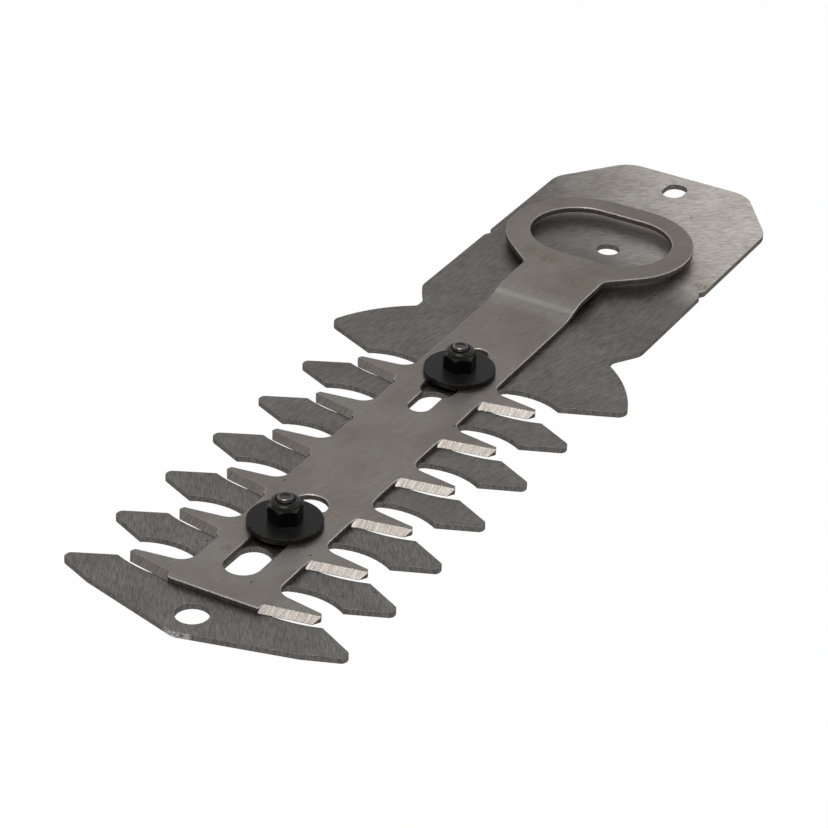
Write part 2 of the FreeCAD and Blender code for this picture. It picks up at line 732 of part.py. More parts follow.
def seat(body, y_rule, z_rule, turn_rule):
    """Put a fastener on its stud's axis at its height, turned about that axis."""
    body.setExpression(".Placement.Base.x", bound(STUD_X))
    body.setExpression(".Placement.Base.y", bound(y_rule))
    body.setExpression(".Placement.Base.z", bound(z_rule))
    body.setExpression(".Placement.Rotation.Angle", bound(f"{turn_rule} * 1 deg"))


def make_stud(name):
    """Threaded stud with a flat head, flush in the comb's underside."""
    body = new_body(name)
    section = new_sketch(body, f"{name}_section", "XZ_Plane")
    top = f"({NUT_Z} + stud_end_height)"
    head = "stud_head_diameter / 2"
    neck = "stud_neck_diameter / 2"
    shank = "stud_diameter / 2"
    draw_outline(section, [
        ("0", "0"),
        (head, "0"),
        (head, "stud_head_thickness"),
        (neck, "stud_head_thickness"),
        (neck, "comb_thickness"),
        (shank, "comb_thickness"),
        (shank, f"{top} - stud_end_chamfer"),
        (f"{shank} - stud_end_chamfer", top),
        ("0", top),
    ])
    spin(body, section, f"{name}_turning")
    return body


def make_washer(name):
    """Large plain washer with broken rims."""
    body = new_body(name)
    section = new_sketch(body, f"{name}_section", "XZ_Plane")
    bore = "stud_diameter / 2 + washer_clearance"
    rim = "washer_diameter / 2"
    draw_outline(section, [
        (bore, "0"),
        (f"{rim} - washer_edge_chamfer", "0"),
        (rim, "washer_edge_chamfer"),
        (rim, "washer_thickness - washer_edge_chamfer"),
        (f"{rim} - washer_edge_chamfer", "washer_thickness"),
        (bore, "washer_thickness"),
    ])
    spin(body, section, f"{name}_turning")
    return body


def make_lock_nut(name):
    """Hexagon nut whose round collar holds a locking ring."""
    body = new_body(name)
    hexagon = new_sketch(body, f"{name}_hexagon")
    corner = "(nut_width / sqrt(3))"
    draw_outline(hexagon, [
        ("nut_width / 2", f"{corner} / 2"),
        ("0", corner),
        ("-nut_width / 2", f"{corner} / 2"),
        ("-nut_width / 2", f"-{corner} / 2"),
        ("0", f"-{corner}"),
        ("nut_width / 2", f"-{corner} / 2"),
    ])
    pad(body, hexagon, f"{name}_prism", "nut_hex_height")

    corners = new_sketch(body, f"{name}_corners", "XZ_Plane")
    drop = "trim_margin * tan(nut_corner_chamfer_angle)"
    draw_outline(corners, [
        ("nut_width / 2", "nut_hex_height"),
        ("nut_width / 2 + trim_margin", f"nut_hex_height - {drop}"),
        ("nut_width / 2 + trim_margin", "nut_hex_height"),
    ])
    spin(body, corners, f"{name}_chamfers", cut=True)

    collar = new_sketch(body, f"{name}_collar", "XZ_Plane")
    outer = "nut_collar_diameter / 2"
    sunk = "nut_hex_height - nut_collar_radius"
    bulge = "nut_collar_radius * (1 - sqrt(0.5))"
    draw_outline(collar, [
        ("nut_mouth_diameter / 2", sunk),
        (outer, sunk),
        (outer, "nut_height - nut_collar_radius"),
        (f"{outer} - {bulge}", f"nut_height - {bulge}"),
        (f"{outer} - nut_collar_radius", "nut_height"),
        ("nut_mouth_diameter / 2", "nut_height"),
    ])
    spin(body, collar, f"{name}_collar_turning")

    bore = new_sketch(body, f"{name}_bore", "XZ_Plane")
    thread = "stud_diameter / 2 + fit_clearance"
    mouth = "nut_mouth_diameter / 2"
    seat_radius = "insert_outer_diameter / 2 + fit_clearance"
    seat_top = "nut_height - nut_lip_thickness"
    seat_bottom = f"({seat_top} - insert_height - fit_clearance)"
    draw_outline(bore, [
        ("0", "0"),
        (thread, "0"),
        (thread, seat_bottom),
        (seat_radius, seat_bottom),
        (seat_radius, seat_top),
        (mouth, seat_top),
        (mouth, "nut_height"),
        ("0", "nut_height"),
    ])
    spin(body, bore, f"{name}_bore_turning", cut=True)
    return body


def make_fasteners(where, stud_y):
    """All pieces on one stud, from the comb up."""
    insert_z = f"({NUT_Z} + nut_height - nut_lip_thickness - insert_height)"
    bush_bore = "stud_diameter + 2 * fit_clearance"
    insert_bore = "stud_diameter + 2 * fit_clearance"
    bush = ring(f"{where}_guide_bush", bush_bore, BUSH_DIAMETER, BUSH_HEIGHT)
    insert = ring(f"{where}_nut_insert", insert_bore, "insert_outer_diameter", "insert_height")
    pieces = [
        (make_stud(f"{where}_bolt"), "0", "0"),
        (bush, "comb_thickness", "0"),
        (make_washer(f"{where}_washer"), WASHER_Z, "0"),
        (make_lock_nut(f"{where}_lock_nut"), NUT_Z, f"{where}_nut_turn"),
        (insert, insert_z, "0"),
    ]
    for body, height_rule, turn_rule in pieces:
        seat(body, stud_y, height_rule, turn_rule)
    return [body for body, _, _ in pieces]


def check_and_write(bodies):
    """Stop if any object failed, else write each piece to its own file."""
    doc.recompute()
    for item in doc.Objects:
        if {"Invalid", "Error"} & set(item.State):
            raise RuntimeError(f"{item.Name} failed: {item.State}")
    for body in bodies:
        if body.Shape.isNull() or not body.Shape.isValid():
            raise RuntimeError(f"{body.Label} has no valid shape")
    os.makedirs("parts", exist_ok=True)
    for body in bodies:
        body.Shape.exportStep(f"parts/{body.Label}.step")
        print(f"{body.Label}: {body.Shape.Volume:.1f} mm3, {len(body.Shape.Solids)} solid")


def main():
    """Build every piece and write it."""
    bodies = [make_lower_blade(), make_upper_blade()]
    bodies += make_fasteners("front", FRONT_STUD_Y)
    bodies += make_fasteners("rear", REAR_STUD_Y)
    check_and_write(bodies)


main()
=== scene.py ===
"""Dresses a hedge trimmer blade: a ground steel comb, a bevelled cutter and black fasteners.

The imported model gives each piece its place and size, in metres, with +X across the blade,
+Y towards the machine and +Z up. This file adds the finishes, the fine forms of the lock
nuts and threaded studs, and the studio with its camera.
"""

import logging
import math
from collections.abc import Callable
from dataclasses import dataclass
from enum import Enum

import bmesh
import bpy
from bpy.types import Material, Node, NodeSocket, NodeTree, Object
from mathutils import Matrix, Vector


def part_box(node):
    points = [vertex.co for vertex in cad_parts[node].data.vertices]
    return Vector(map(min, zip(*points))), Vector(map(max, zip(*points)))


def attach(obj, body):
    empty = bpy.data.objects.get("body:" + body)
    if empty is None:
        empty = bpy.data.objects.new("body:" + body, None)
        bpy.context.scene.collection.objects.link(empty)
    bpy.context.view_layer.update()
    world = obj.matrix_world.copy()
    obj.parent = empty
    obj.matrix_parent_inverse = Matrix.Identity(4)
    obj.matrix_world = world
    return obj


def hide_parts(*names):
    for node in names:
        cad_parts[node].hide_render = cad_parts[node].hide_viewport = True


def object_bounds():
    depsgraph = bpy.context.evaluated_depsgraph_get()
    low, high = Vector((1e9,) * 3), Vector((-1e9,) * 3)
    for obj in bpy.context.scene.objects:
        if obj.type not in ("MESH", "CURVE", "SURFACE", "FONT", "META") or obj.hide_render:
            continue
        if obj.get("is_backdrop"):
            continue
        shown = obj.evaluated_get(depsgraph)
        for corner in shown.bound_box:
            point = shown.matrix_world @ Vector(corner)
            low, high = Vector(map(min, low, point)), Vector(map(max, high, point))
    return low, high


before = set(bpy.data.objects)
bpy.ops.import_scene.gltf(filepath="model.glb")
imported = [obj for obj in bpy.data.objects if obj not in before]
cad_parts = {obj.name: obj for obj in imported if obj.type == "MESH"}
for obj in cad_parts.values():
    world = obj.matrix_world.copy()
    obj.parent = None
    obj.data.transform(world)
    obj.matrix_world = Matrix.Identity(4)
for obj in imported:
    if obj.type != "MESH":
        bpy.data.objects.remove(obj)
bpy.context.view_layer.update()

MM = 0.001
WHITE = (1.0, 1.0, 1.0, 1.0)
COMB_BODY = "comb"
log = logging.getLogger("hedge_blade")

Source = NodeSocket | float | tuple[float, ...]
Colour = tuple[float, float, float, float]
Ring = Callable[[float], tuple[float, float]]


class Stud(Enum):
    """The two studs that hold the cutter down, by the first word of their nodes' names."""

    FRONT = "front"
    REAR = "rear"


def grey(value: float, warmth: float = 0.0) -> Colour:
    """A grey, warmer or cooler by a small share of its value."""
    return (value * (1 + warmth), value, value * (1 - warmth), 1.0)


def blend(first: Colour, second: Colour, share: float) -> Colour:
    """A colour that lies between two others by the share of the second."""
    red, green, blue = (a * (1 - share) + b * share for a, b in zip(first[:3], second[:3]))
    return (red, green, blue, 1.0)


class Wiring:
    """Adds nodes to one node tree and links them."""

    def __init__(self, tree: NodeTree) -> None:
        """Start with a tree."""
        self.tree = tree

    def add(self, kind: str, *sources: Source, **settings: object) -> Node:
        """Add a node.

        Args:
            kind: Blender's name of the node's type.
            *sources: What its first inputs take, in order.
            **settings: Properties to set on it.

        Returns:
            The new node.
        """
        node = self.tree.nodes.new(kind)
        for name, value in settings.items():
            setattr(node, name, value)
        for socket, source in zip(node.inputs, sources):
            self.feed(socket, source)
        return node

    def feed(self, socket: NodeSocket, source: Source) -> None:
        """Link a source to an input, or set the input's own value.

        Args:
            socket: The input.
            source: Another node's output, or a constant.
        """
        if isinstance(source, NodeSocket):
            self.tree.links.new(source, socket)
        else:
            socket.default_value = source

    def math(self, operation: str, *values: Source, clamp: bool = False) -> NodeSocket:
        """Calculate with numbers.

        Args:
            operation: Blender's name of the operation.
            *values: Its operands.
            clamp: Whether the result is held from 0 to 1.

        Returns:
            The result's socket.
        """
        node = self.add("ShaderNodeMath", *values, operation=operation, use_clamp=clamp)
        return node.outputs[0]

    def vector_math(self, operation: str, *values: Source) -> Node:
        """Calculate with vectors. The node puts out Vector and Value."""
        return self.add("ShaderNodeVectorMath", *values, operation=operation)

    def place(self) -> NodeSocket:
        """Where a point lies in its object."""
        return self.add("ShaderNodeTexCoord").outputs["Object"]

    def split(self, vector: Source) -> Node:
        """Take a vector apart. The node puts out X, Y and Z."""
        return self.add("ShaderNodeSeparateXYZ", vector)

    def in_units(self, vector: Source, x: Source, y: Source, z: Source) -> NodeSocket:
        """Measure a vector in a unit of its own on each axis."""
        unit = self.add("ShaderNodeCombineXYZ", x, y, z)
        return self.vector_math("DIVIDE", vector, unit.outputs[0]).outputs["Vector"]

    def spread(
        self, value: Source, low: Source, high: Source, ends: tuple[float, float] = (0, 1)
    ) -> NodeSocket:
        """Map a number smoothly from one range to another.

        Args:
            value: The number.
            low: Where the first range starts.
            high: Where the first range ends.
            ends: The results at those places.

        Returns:
            The result's socket.
        """
        kind, step = "ShaderNodeMapRange", "SMOOTHSTEP"
        return self.add(kind, value, low, high, *ends, interpolation_type=step).outputs["Result"]

    def mix(self, amount: Source, first: Source, second: Source, way: str = "MIX") -> NodeSocket:
        """Mix two colours.

        Args:
            amount: Share of the second colour.
            first: The first colour.
            second: The second colour.
            way: Blender's name of the way of mixing.

        Returns:
            The mixed colour's socket.
        """
        node = self.add("ShaderNodeMix", data_type="RGBA", blend_type=way)
        self.feed(node.inputs["Factor"], amount)
        self.feed(node.inputs[6], first)
        self.feed(node.inputs[7], second)
        return node.outputs[2]

    def noise(self, vector: Source, detail: float, roughness: float) -> NodeSocket:
        """Sample cloudy noise at one unit's scale.

        Args:
            vector: Where to sample it.
            detail: How many finer layers it has.
            roughness: How strong those are.

        Returns:
            The noise value's socket.
        """
        node = self.add("ShaderNodeTexNoise", vector)
        node.inputs["Scale"].default_value = 1.0
        node.inputs["Detail"].default_value = detail
        node.inputs["Roughness"].default_value = roughness
        return node.outputs["Fac"]


class GroupWiring(Wiring):
    """Adds nodes to a node group, between its inputs and its outputs."""

    def __init__(self, tree: NodeTree) -> None:
        """Start with a group's tree and its two end nodes."""
        super().__init__(tree)
        self.inside, self.outside = self.add("NodeGroupInput"), self.add("NodeGroupOutput")

    def given(self, name: str) -> NodeSocket:
        """The value that the group is given under a name."""
        return self.inside.outputs[name]

    def give(self, name: str, source: Source) -> None:
        """Put a value out under a name."""
        self.feed(self.outside.inputs[name], source)

    def sized(self, name: str) -> NodeSocket:
        """Where a point lies in its object, in units of the size given under a name."""
        return self.in_units(self.place(), *[self.given(name)] * 3)


class Effect:
    """A shader node group that several finishes share. It is built once."""

    name = ""
    inputs: tuple[tuple[str, str, object], ...] = ()
    outputs: tuple[tuple[str, str], ...] = ()

    def wire(self, wiring: GroupWiring) -> None:
        """Fill the group.

        Args:
            wiring: Adds nodes to the group.
        """
        raise NotImplementedError

    def tree(self) -> NodeTree:
        """Find the group's tree, or make it at its first use.

        Returns:
            The tree.
        """
        found = bpy.data.node_groups.get(self.name)
        if found:
            return found
        tree = bpy.data.node_groups.new(self.name, "ShaderNodeTree")
        for name, kind, default in self.inputs:
            socket = tree.interface.new_socket(name, in_out="INPUT", socket_type=kind)
            socket.default_value = default
        for name, kind in self.outputs:
            tree.interface.new_socket(name, in_out="OUTPUT", socket_type=kind)
        self.wire(GroupWiring(tree))
        return tree

    def put(self, wiring: Wiring, **values: Source) -> Node:
        """Put the group in a material.

        Args:
            wiring: Adds nodes to the material.
            **values: The group's inputs, by name.

        Returns:
            The group's node.
        """
        node = wiring.add("ShaderNodeGroup", node_tree=self.tree())
        for name, value in values.items():
            wiring.feed(node.inputs[name], value)
        return node


class GrindingLines(Effect):
    """Fine parallel scratches that a grinding belt leaves."""

    name = "grinding_lines"
    inputs = (
        ("Turn", "NodeSocketFloat", 0.0),
        ("Length", "NodeSocketFloat", 2 * MM),
        ("Width", "NodeSocketFloat", 0.15 * MM),
        ("Depth", "NodeSocketFloat", 2 * MM),
    )
    outputs = (("Lines", "NodeSocketFloat"),)

    def wire(self, wiring: GroupWiring) -> None:
        """Stretch noise along the turned Y axis and through the plate's thickness.

        Args:
            wiring: Adds nodes to the group.
        """
        turned = wiring.add("ShaderNodeVectorRotate", rotation_type="Z_AXIS")
        wiring.feed(turned.inputs["Vector"], wiring.place())
        wiring.feed(turned.inputs["Angle"], wiring.given("Turn"))
        units = (wiring.given(name) for name in ("Width", "Length", "Depth"))
        stretched = wiring.in_units(turned.outputs[0], *units)
        lines = wiring.noise(stretched, detail=3.0, roughness=0.7)
        wiring.give("Lines", wiring.spread(lines, 0.32, 0.68))


class Clouds(Effect):
    """Slow uneven tone over a surface."""

    name = "clouds"
    inputs = (("Size", "NodeSocketFloat", 12 * MM),)
    outputs = (("Tone", "NodeSocketFloat"),)

    def wire(self, wiring: GroupWiring) -> None:
        """Sample noise at the size asked for.

        Args:
            wiring: Adds nodes to the group.
        """
        tone = wiring.noise(wiring.sized("Size"), detail=2.0, roughness=0.45)
        wiring.give("Tone", wiring.spread(tone, 0.3, 0.7))


class Pits(Effect):
    """Small dark pits, scattered thinly."""

    name = "pits"
    inputs = (
        ("Spacing", "NodeSocketFloat", 3 * MM),
        ("Share", "NodeSocketFloat", 0.3),
        ("Size", "NodeSocketFloat", 0.1),
    )
    outputs = (("Pit", "NodeSocketFloat"),)

    def wire(self, wiring: GroupWiring) -> None:
        """Mark the middles of some of a pattern's random cells.

        Args:
            wiring: Adds nodes to the group.
        """
        cells = wiring.add("ShaderNodeTexVoronoi", wiring.sized("Spacing"))
        cells.inputs["Scale"].default_value = 1.0
        chance = wiring.add("ShaderNodeSeparateColor", cells.outputs["Color"])
        chosen = wiring.math("LESS_THAN", chance.outputs["Red"], wiring.given("Share"))
        reach = wiring.math("MULTIPLY", chance.outputs["Green"], wiring.given("Size"))
        away = wiring.math("DIVIDE", cells.outputs["Distance"], reach)
        near = wiring.math("SUBTRACT", 1.0, away, clamp=True)
        sharp = wiring.spread(near, 0.0, 0.5)
        wiring.give("Pit", wiring.math("MULTIPLY", sharp, chosen))


class Faces(Effect):
    """Tells a plate's sheared walls and ground bevels from its flat faces."""

    name = "faces"
    outputs = (("Wall", "NodeSocketFloat"), ("Bevel", "NodeSocketFloat"))

    def wire(self, wiring: GroupWiring) -> None:
        """Compare how far each face leans from level. Bevels lean forward.

        Args:
            wiring: Adds nodes to the group.
        """
        normal = wiring.split(wiring.add("ShaderNodeNewGeometry").outputs["True Normal"])
        upright = wiring.math("ABSOLUTE", normal.outputs["Z"])
        wiring.give("Wall", wiring.spread(upright, 0.25, 0.5, (1, 0)))
        leaning = wiring.math("COMPARE", normal.outputs["Z"], 0.79, 0.03)
        forward = wiring.math("LESS_THAN", normal.outputs["Y"], -0.3)
        wiring.give("Bevel", wiring.math("MULTIPLY", leaning, forward))


class WornEdgesAndHighlight(Effect):
    """The thin bright line along upper edges: partly bare metal, partly a painted highlight."""

    name = "worn_edges_and_highlight"
    inputs = (("Width", "NodeSocketFloat", 0.15 * MM),)
    outputs = (("Edge", "NodeSocketFloat"), ("Rounded", "NodeSocketVector"))

    def wire(self, wiring: GroupWiring) -> None:
        """Compare the true normal with one that is rounded over the width and faces up.

        Args:
            wiring: Adds nodes to the group.
        """
        rounded = wiring.add("ShaderNodeBevel", wiring.given("Width"), samples=4)
        normal = wiring.add("ShaderNodeNewGeometry").outputs["True Normal"]
        match = wiring.vector_math("DOT_PRODUCT", rounded.outputs[0], normal)
        # Keeping only upward edges paints the highlight where light from above catches them.
        upward = wiring.spread(wiring.split(rounded.outputs[0]).outputs["Z"], 0.1, 0.4)
        edge = wiring.spread(match.outputs["Value"], 0.94, 0.8)
        wiring.give("Edge", wiring.math("MULTIPLY", edge, upward))
        wiring.give("Rounded", rounded.outputs[0])


class Stain(Effect):
    """One ragged stain at a place."""

    name = "stain"
    inputs = (
        ("Place", "NodeSocketVector", (0.0, 0.0, 0.0)),
        ("Radius", "NodeSocketFloat", 4 * MM),
        ("Grain", "NodeSocketFloat", 1 * MM),
    )
    outputs = (("Mask", "NodeSocketFloat"),)

    def wire(self, wiring: GroupWiring) -> None:
        """Fade from the place outwards in plan, broken up by noise.

        Args:
            wiring: Adds nodes to the group.
        """
        plan = wiring.vector_math("MULTIPLY", wiring.place(), (1.0, 1.0, 0.0)).outputs["Vector"]
        away = wiring.vector_math("DISTANCE", plan, wiring.given("Place"))
        near = wiring.math("DIVIDE", away.outputs["Value"], wiring.given("Radius"))
        ragged = wiring.noise(wiring.sized("Grain"), detail=4.0, roughness=0.6)
        patch = wiring.spread(ragged, 0.42, 0.62)
        wiring.give("Mask", wiring.math("MULTIPLY", patch, wiring.spread(near, 1.0, 0.2)))


class Across(Effect):
    """Fades from one straight line in plan to another, along Y or aslant."""

    name = "across"
    inputs = (
        ("Slant", "NodeSocketFloat", 0.0),
        ("Start", "NodeSocketFloat", 0.0),
        ("End", "NodeSocketFloat", 10 * MM),
    )
    outputs = (("Share", "NodeSocketFloat"),)

    def wire(self, wiring: GroupWiring) -> None:
        """Measure along Y plus the slant's share of X, and fade between start and end.

        Args:
            wiring: Adds nodes to the group.
        """
        place = wiring.split(wiring.place())
        x, y = place.outputs["X"], place.outputs["Y"]
        along = wiring.math("MULTIPLY_ADD", x, wiring.given("Slant"), y)
        share = wiring.spread(along, wiring.given("Start"), wiring.given("End"))
        wiring.give("Share", share)


@dataclass(frozen=True)
class Spot:
    """Where a stain or a nick lies, in millimetres, and how strong it is."""

    x: float
    y: float
    radius: float
    strength: float
    grain: float

    def mask(self, wiring: Wiring) -> NodeSocket:
        """Mark the spot in a material.

        Args:
            wiring: Adds nodes to the material.

        Returns:
            The mask's socket.
        """
        place = (self.x * MM, self.y * MM, 0.0)
        node = Stain().put(wiring, Place=place, Radius=self.radius * MM, Grain=self.grain * MM)
        return wiring.math("MULTIPLY", node.outputs["Mask"], self.strength)


@dataclass(frozen=True)
class Finish:
    """A material's plain values."""

    name: str
    colour: Colour
    metallic: float = 1.0
    roughness: float = 0.4

    def start(self) -> tuple[Wiring, Node, Material]:
        """Make the material with its shader.

        Returns:
            The wiring of its tree, the shader node and the material.
        """
        material = bpy.data.materials.new(self.name)
        material.use_nodes = True
        material.diffuse_color = self.colour
        shader = material.node_tree.nodes["Principled BSDF"]
        shader.inputs["Base Color"].default_value = self.colour
        shader.inputs["Metallic"].default_value = self.metallic
        shader.inputs["Roughness"].default_value = self.roughness
        return Wiring(material.node_tree), shader, material

    def bump(
        self, wiring: Wiring, shader: Node, height: Source, depth: float, rounded: Source
    ) -> None:
        """Give the shader a bump.

        Args:
            wiring: Adds nodes to the material.
            shader: The shader node.
            height: The height, from 0 to 1.
            depth: How far 1 stands above 0, in millimetres.
            rounded: The normal under the bump, turned at edges.
        """
        node = wiring.add("ShaderNodeBump")
        node.inputs["Strength"].default_value = 1.0
        node.inputs["Distance"].default_value = depth * MM
        wiring.feed(node.inputs["Height"], height)
        wiring.feed(node.inputs["Normal"], rounded)
        wiring.feed(shader.inputs["Normal"], node.outputs[0])

    def lines(
        self, wiring: Wiring, turn: float, length: float, width: float, depth: float = 2.0
    ) -> NodeSocket:
        """Draw grinding lines.

        Args:
            wiring: Adds nodes to the material.
            turn: Their direction from Y, in degrees.
            length: Their length, in millimetres.
            width: Their width, in millimetres.
            depth: How far they reach through the thickness, in millimetres.

        Returns:
            The lines' socket.
        """
        sizes = {"Length": length * MM, "Width": width * MM, "Depth": depth * MM}
        return GrindingLines().put(wiring, Turn=math.radians(turn), **sizes).outputs["Lines"]

    def build(self) -> Material:
        """Make the finished material."""
        raise NotImplementedError


@dataclass(frozen=True)
class PlateSteel(Finish):
    """Ground steel plate with sheared walls, as on both blades. Its lengths are millimetres."""

    metal_edge_tint: Colour = grey(0.45, 0.08)
    dark_line: Colour = grey(0.08)
    bright_line: Colour = grey(0.2)
    line_turn: float = 12.0
    line_length: float = 3.2
    line_width: float = 0.18
    line_contrast: float = 0.6
    cloud_size: float = 14.0
    cloud_shade: Colour = grey(0.84, 0.015)
    wall_colour: Colour = grey(0.1)
    wall_mark: Colour = grey(0.05)
    shear_turn: float = 22.9
    shear_size: float = 0.45
    shear_depth: float = 1.6
    bevel_colour: Colour = grey(0.15)
    bevel_mark: Colour = grey(0.08)
    bevel_line_turn: float = 3.44
    bevel_line_length: float = 6.0
    bevel_line_width: float = 0.24
    # Edge colour and strength: worn bare metal, and a painted highlight along the upper edges.
    edge_wear_and_highlight_colour: Colour = grey(0.5)
    edge_wear_and_highlight: float = 0.5
    edge_width: float = 0.1
    bevel_edge_width: float = 0.05
    least_wear_and_highlight: float = 0.45
    pit_share: float = 0.25
    pit_spacing: float = 2.6
    pit_size: float = 0.17
    pit_strength: float = 0.9
    pit_colour: Colour = grey(0.035, 0.15)
    stain_colour: Colour = (0.16, 0.10, 0.055, 1.0)
    spots: tuple[Spot, ...] = ()
    nick_colour: Colour = grey(0.58, 0.02)
    nicks: tuple[Spot, ...] = ()
    relief: float = 0.006

    def streaks(self, wiring: Wiring) -> NodeSocket:
        """The grinding lines of the flat faces."""
        return self.lines(wiring, self.line_turn, self.line_length, self.line_width)

    def ground(self, wiring: Wiring, lines: NodeSocket) -> NodeSocket:
        """Colour the flat faces.

        Args:
            wiring: Adds nodes to the material.
            lines: The grinding lines.

        Returns:
            The colour's socket.
        """
        low = blend(self.colour, self.dark_line, self.line_contrast)
        high = blend(self.colour, self.bright_line, self.line_contrast)
        return wiring.mix(lines, low, high)

    def weathered(self, wiring: Wiring, colour: Source, clouds: Source, pits: Source) -> NodeSocket:
        """Add clouds, stains and pits to the flat faces.

        Args:
            wiring: Adds nodes to the material.
            colour: The colour so far.
            clouds: Where the surface is duller.
            pits: Where the pits are.

        Returns:
            The colour's socket.
        """
        colour = wiring.mix(1.0, colour, wiring.mix(clouds, WHITE, self.cloud_shade), "MULTIPLY")
        for spot in self.spots:
            colour = wiring.mix(spot.mask(wiring), colour, self.stain_colour)
        return wiring.mix(wiring.math("MULTIPLY", pits, self.pit_strength), colour, self.pit_colour)

    def nicked(self, wiring: Wiring, colour: Source, wall: Source) -> NodeSocket:
        """Add bare nicks to the walls.

        Args:
            wiring: Adds nodes to the material.
            colour: The colour so far.
            wall: Where the walls are.

        Returns:
            The colour's socket.
        """
        for nick in self.nicks:
            bare = wiring.math("MULTIPLY", nick.mask(wiring), wall)
            colour = wiring.mix(bare, colour, self.nick_colour)
        return colour

    def summed(
        self, wiring: Wiring, start: Source, parts: tuple[tuple[Source, float], ...]
    ) -> NodeSocket:
        """Add up values, each times its own weight.

        Args:
            wiring: Adds nodes to the material.
            start: What the sum starts from.
            parts: The values with their weights.

        Returns:
            The sum's socket.
        """
        for value, weight in parts:
            start = wiring.math("MULTIPLY_ADD", value, weight, start)
        return start

    def build(self) -> Material:
        """Blend the flat faces, the sheared walls, the bevels, the pits and the stains.

        Returns:
            The material.
        """
        wiring, shader, material = self.start()
        shader.inputs["Specular Tint"].default_value = self.metal_edge_tint
        faces = Faces().put(wiring)
        wall, bevel = faces.outputs["Wall"], faces.outputs["Bevel"]
        lines = self.streaks(wiring)
        clouds = Clouds().put(wiring, Size=self.cloud_size * MM).outputs["Tone"]
        sizes = {"Spacing": self.pit_spacing * MM, "Share": self.pit_share, "Size": self.pit_size}
        pits = Pits().put(wiring, **sizes).outputs["Pit"]
        colour = self.weathered(wiring, self.ground(wiring, lines), clouds, pits)

        shear = self.lines(wiring, self.shear_turn, self.shear_size, self.shear_size, self.shear_depth)
        colour = wiring.mix(wall, colour, wiring.mix(shear, self.wall_mark, self.wall_colour))
        length = self.bevel_line_length
        cuts = self.lines(wiring, self.bevel_line_turn, length, self.bevel_line_width, length)
        colour = wiring.mix(bevel, colour, wiring.mix(cuts, self.bevel_mark, self.bevel_colour))
        # Worn edges, partly bare metal and partly a painted highlight that brightens the upper edges.
        widths = (self.edge_width * MM, self.bevel_edge_width * MM)
        edges = WornEdgesAndHighlight().put(wiring, Width=wiring.spread(bevel, 0, 1, widths))
        edge = edges.outputs["Edge"]
        uneven = wiring.spread(clouds, 0.0, 0.6, (self.least_wear_and_highlight, 1.0))
        wear_and_highlight_mask = wiring.math("MULTIPLY", wiring.math("MULTIPLY", edge, self.edge_wear_and_highlight), uneven)
        colour = wiring.mix(wear_and_highlight_mask, colour, self.edge_wear_and_highlight_colour)
        wiring.feed(shader.inputs["Base Color"], self.nicked(wiring, colour, wall))

        roughened = ((lines, 0.1), (wall, 0.25), (edge, -0.12), (bevel, -0.08))
        wiring.feed(shader.inputs["Roughness"], self.summed(wiring, self.roughness - 0.05, roughened))
        sheared = wiring.math("MULTIPLY", shear, wall)
        cut = wiring.math("MULTIPLY", cuts, bevel)
        height = self.summed(wiring, 0.0, ((lines, 0.5), (sheared, 3.0), (cut, 0.5), (pits, -4.0)))
        self.bump(wiring, shader, height, self.relief, edges.outputs["Rounded"])
        return material


@dataclass(frozen=True)
class CombSteel(PlateSteel):
    """The comb's steel: its tail is ground across, and a painted sheen makes it brighter than its
    teeth.
    """

    # The tail's lines and colour: real cross grinding, brightened by a painted sheen.
    tail_sheen_colour: Colour = grey(0.70, 0.05)
    tail_sheen_mark: Colour = grey(0.34, 0.05)
    tail_start: float = -14.0
    tail_end: float = 2.0
    tail_slant: float = 0.25
    tail_turn: float = 47.0
    nose_start: float = -146.0
    nose_end: float = -118.0
    nose_slant: float = 0.2
    nose_turn: float = -36.0
    short_lines: float = 0.8
    # Where the painted sheen fades in towards the tail's right corner.
    painted_sheen_slant: float = 1.1
    painted_sheen_start: float = -32.0
    painted_sheen_end: float = 72.0

    def zone(self, wiring: Wiring, slant: float, start: float, end: float) -> NodeSocket:
        """Fade one stretch of the plate in.

        Args:
            wiring: Adds nodes to the material.
            slant: How far the zone's border leans.
            start: Where the zone starts, in millimetres along Y.
            end: Where it has its full strength.

        Returns:
            The zone's share.
        """
        return Across().put(wiring, Slant=slant, Start=start * MM, End=end * MM).outputs["Share"]

    def tail(self, wiring: Wiring) -> NodeSocket:
        """Where the plate has been ground aslant."""
        return self.zone(wiring, self.tail_slant, self.tail_start, self.tail_end)

    def streaks(self, wiring: Wiring) -> NodeSocket:
        """Draw lines that turn from the nose over the teeth to the tail.

        Args:
            wiring: Adds nodes to the material.

        Returns:
            The lines' socket.
        """
        lines = super().streaks(wiring)
        behind_nose = self.zone(wiring, self.nose_slant, self.nose_start, self.nose_end)
        zones = (
            (self.nose_turn, wiring.math("SUBTRACT", 1.0, behind_nose)),
            (self.tail_turn, self.tail(wiring)),
        )
        for turn, share in zones:
            turned = self.lines(wiring, turn, self.line_length * self.short_lines, self.line_width)
            kept = wiring.math("MULTIPLY", lines, wiring.math("SUBTRACT", 1.0, share))
            lines = wiring.math("MULTIPLY_ADD", turned, share, kept)
        return lines

    def ground(self, wiring: Wiring, lines: NodeSocket) -> NodeSocket:
        """Colour the flat faces, with a painted sheen that grows brighter towards the tail's right
        corner.

        Args:
            wiring: Adds nodes to the material.
            lines: The grinding lines.

        Returns:
            The colour's socket.
        """
        plain = super().ground(wiring, lines)
        # Painted sheen: the tail grows brighter towards its right corner.
        reach = self.zone(wiring, self.painted_sheen_slant, self.painted_sheen_start, self.painted_sheen_end)
        painted_sheen = wiring.math("MULTIPLY", reach, self.tail(wiring))
        return wiring.mix(painted_sheen, plain, wiring.mix(lines, self.tail_sheen_mark, self.tail_sheen_colour))


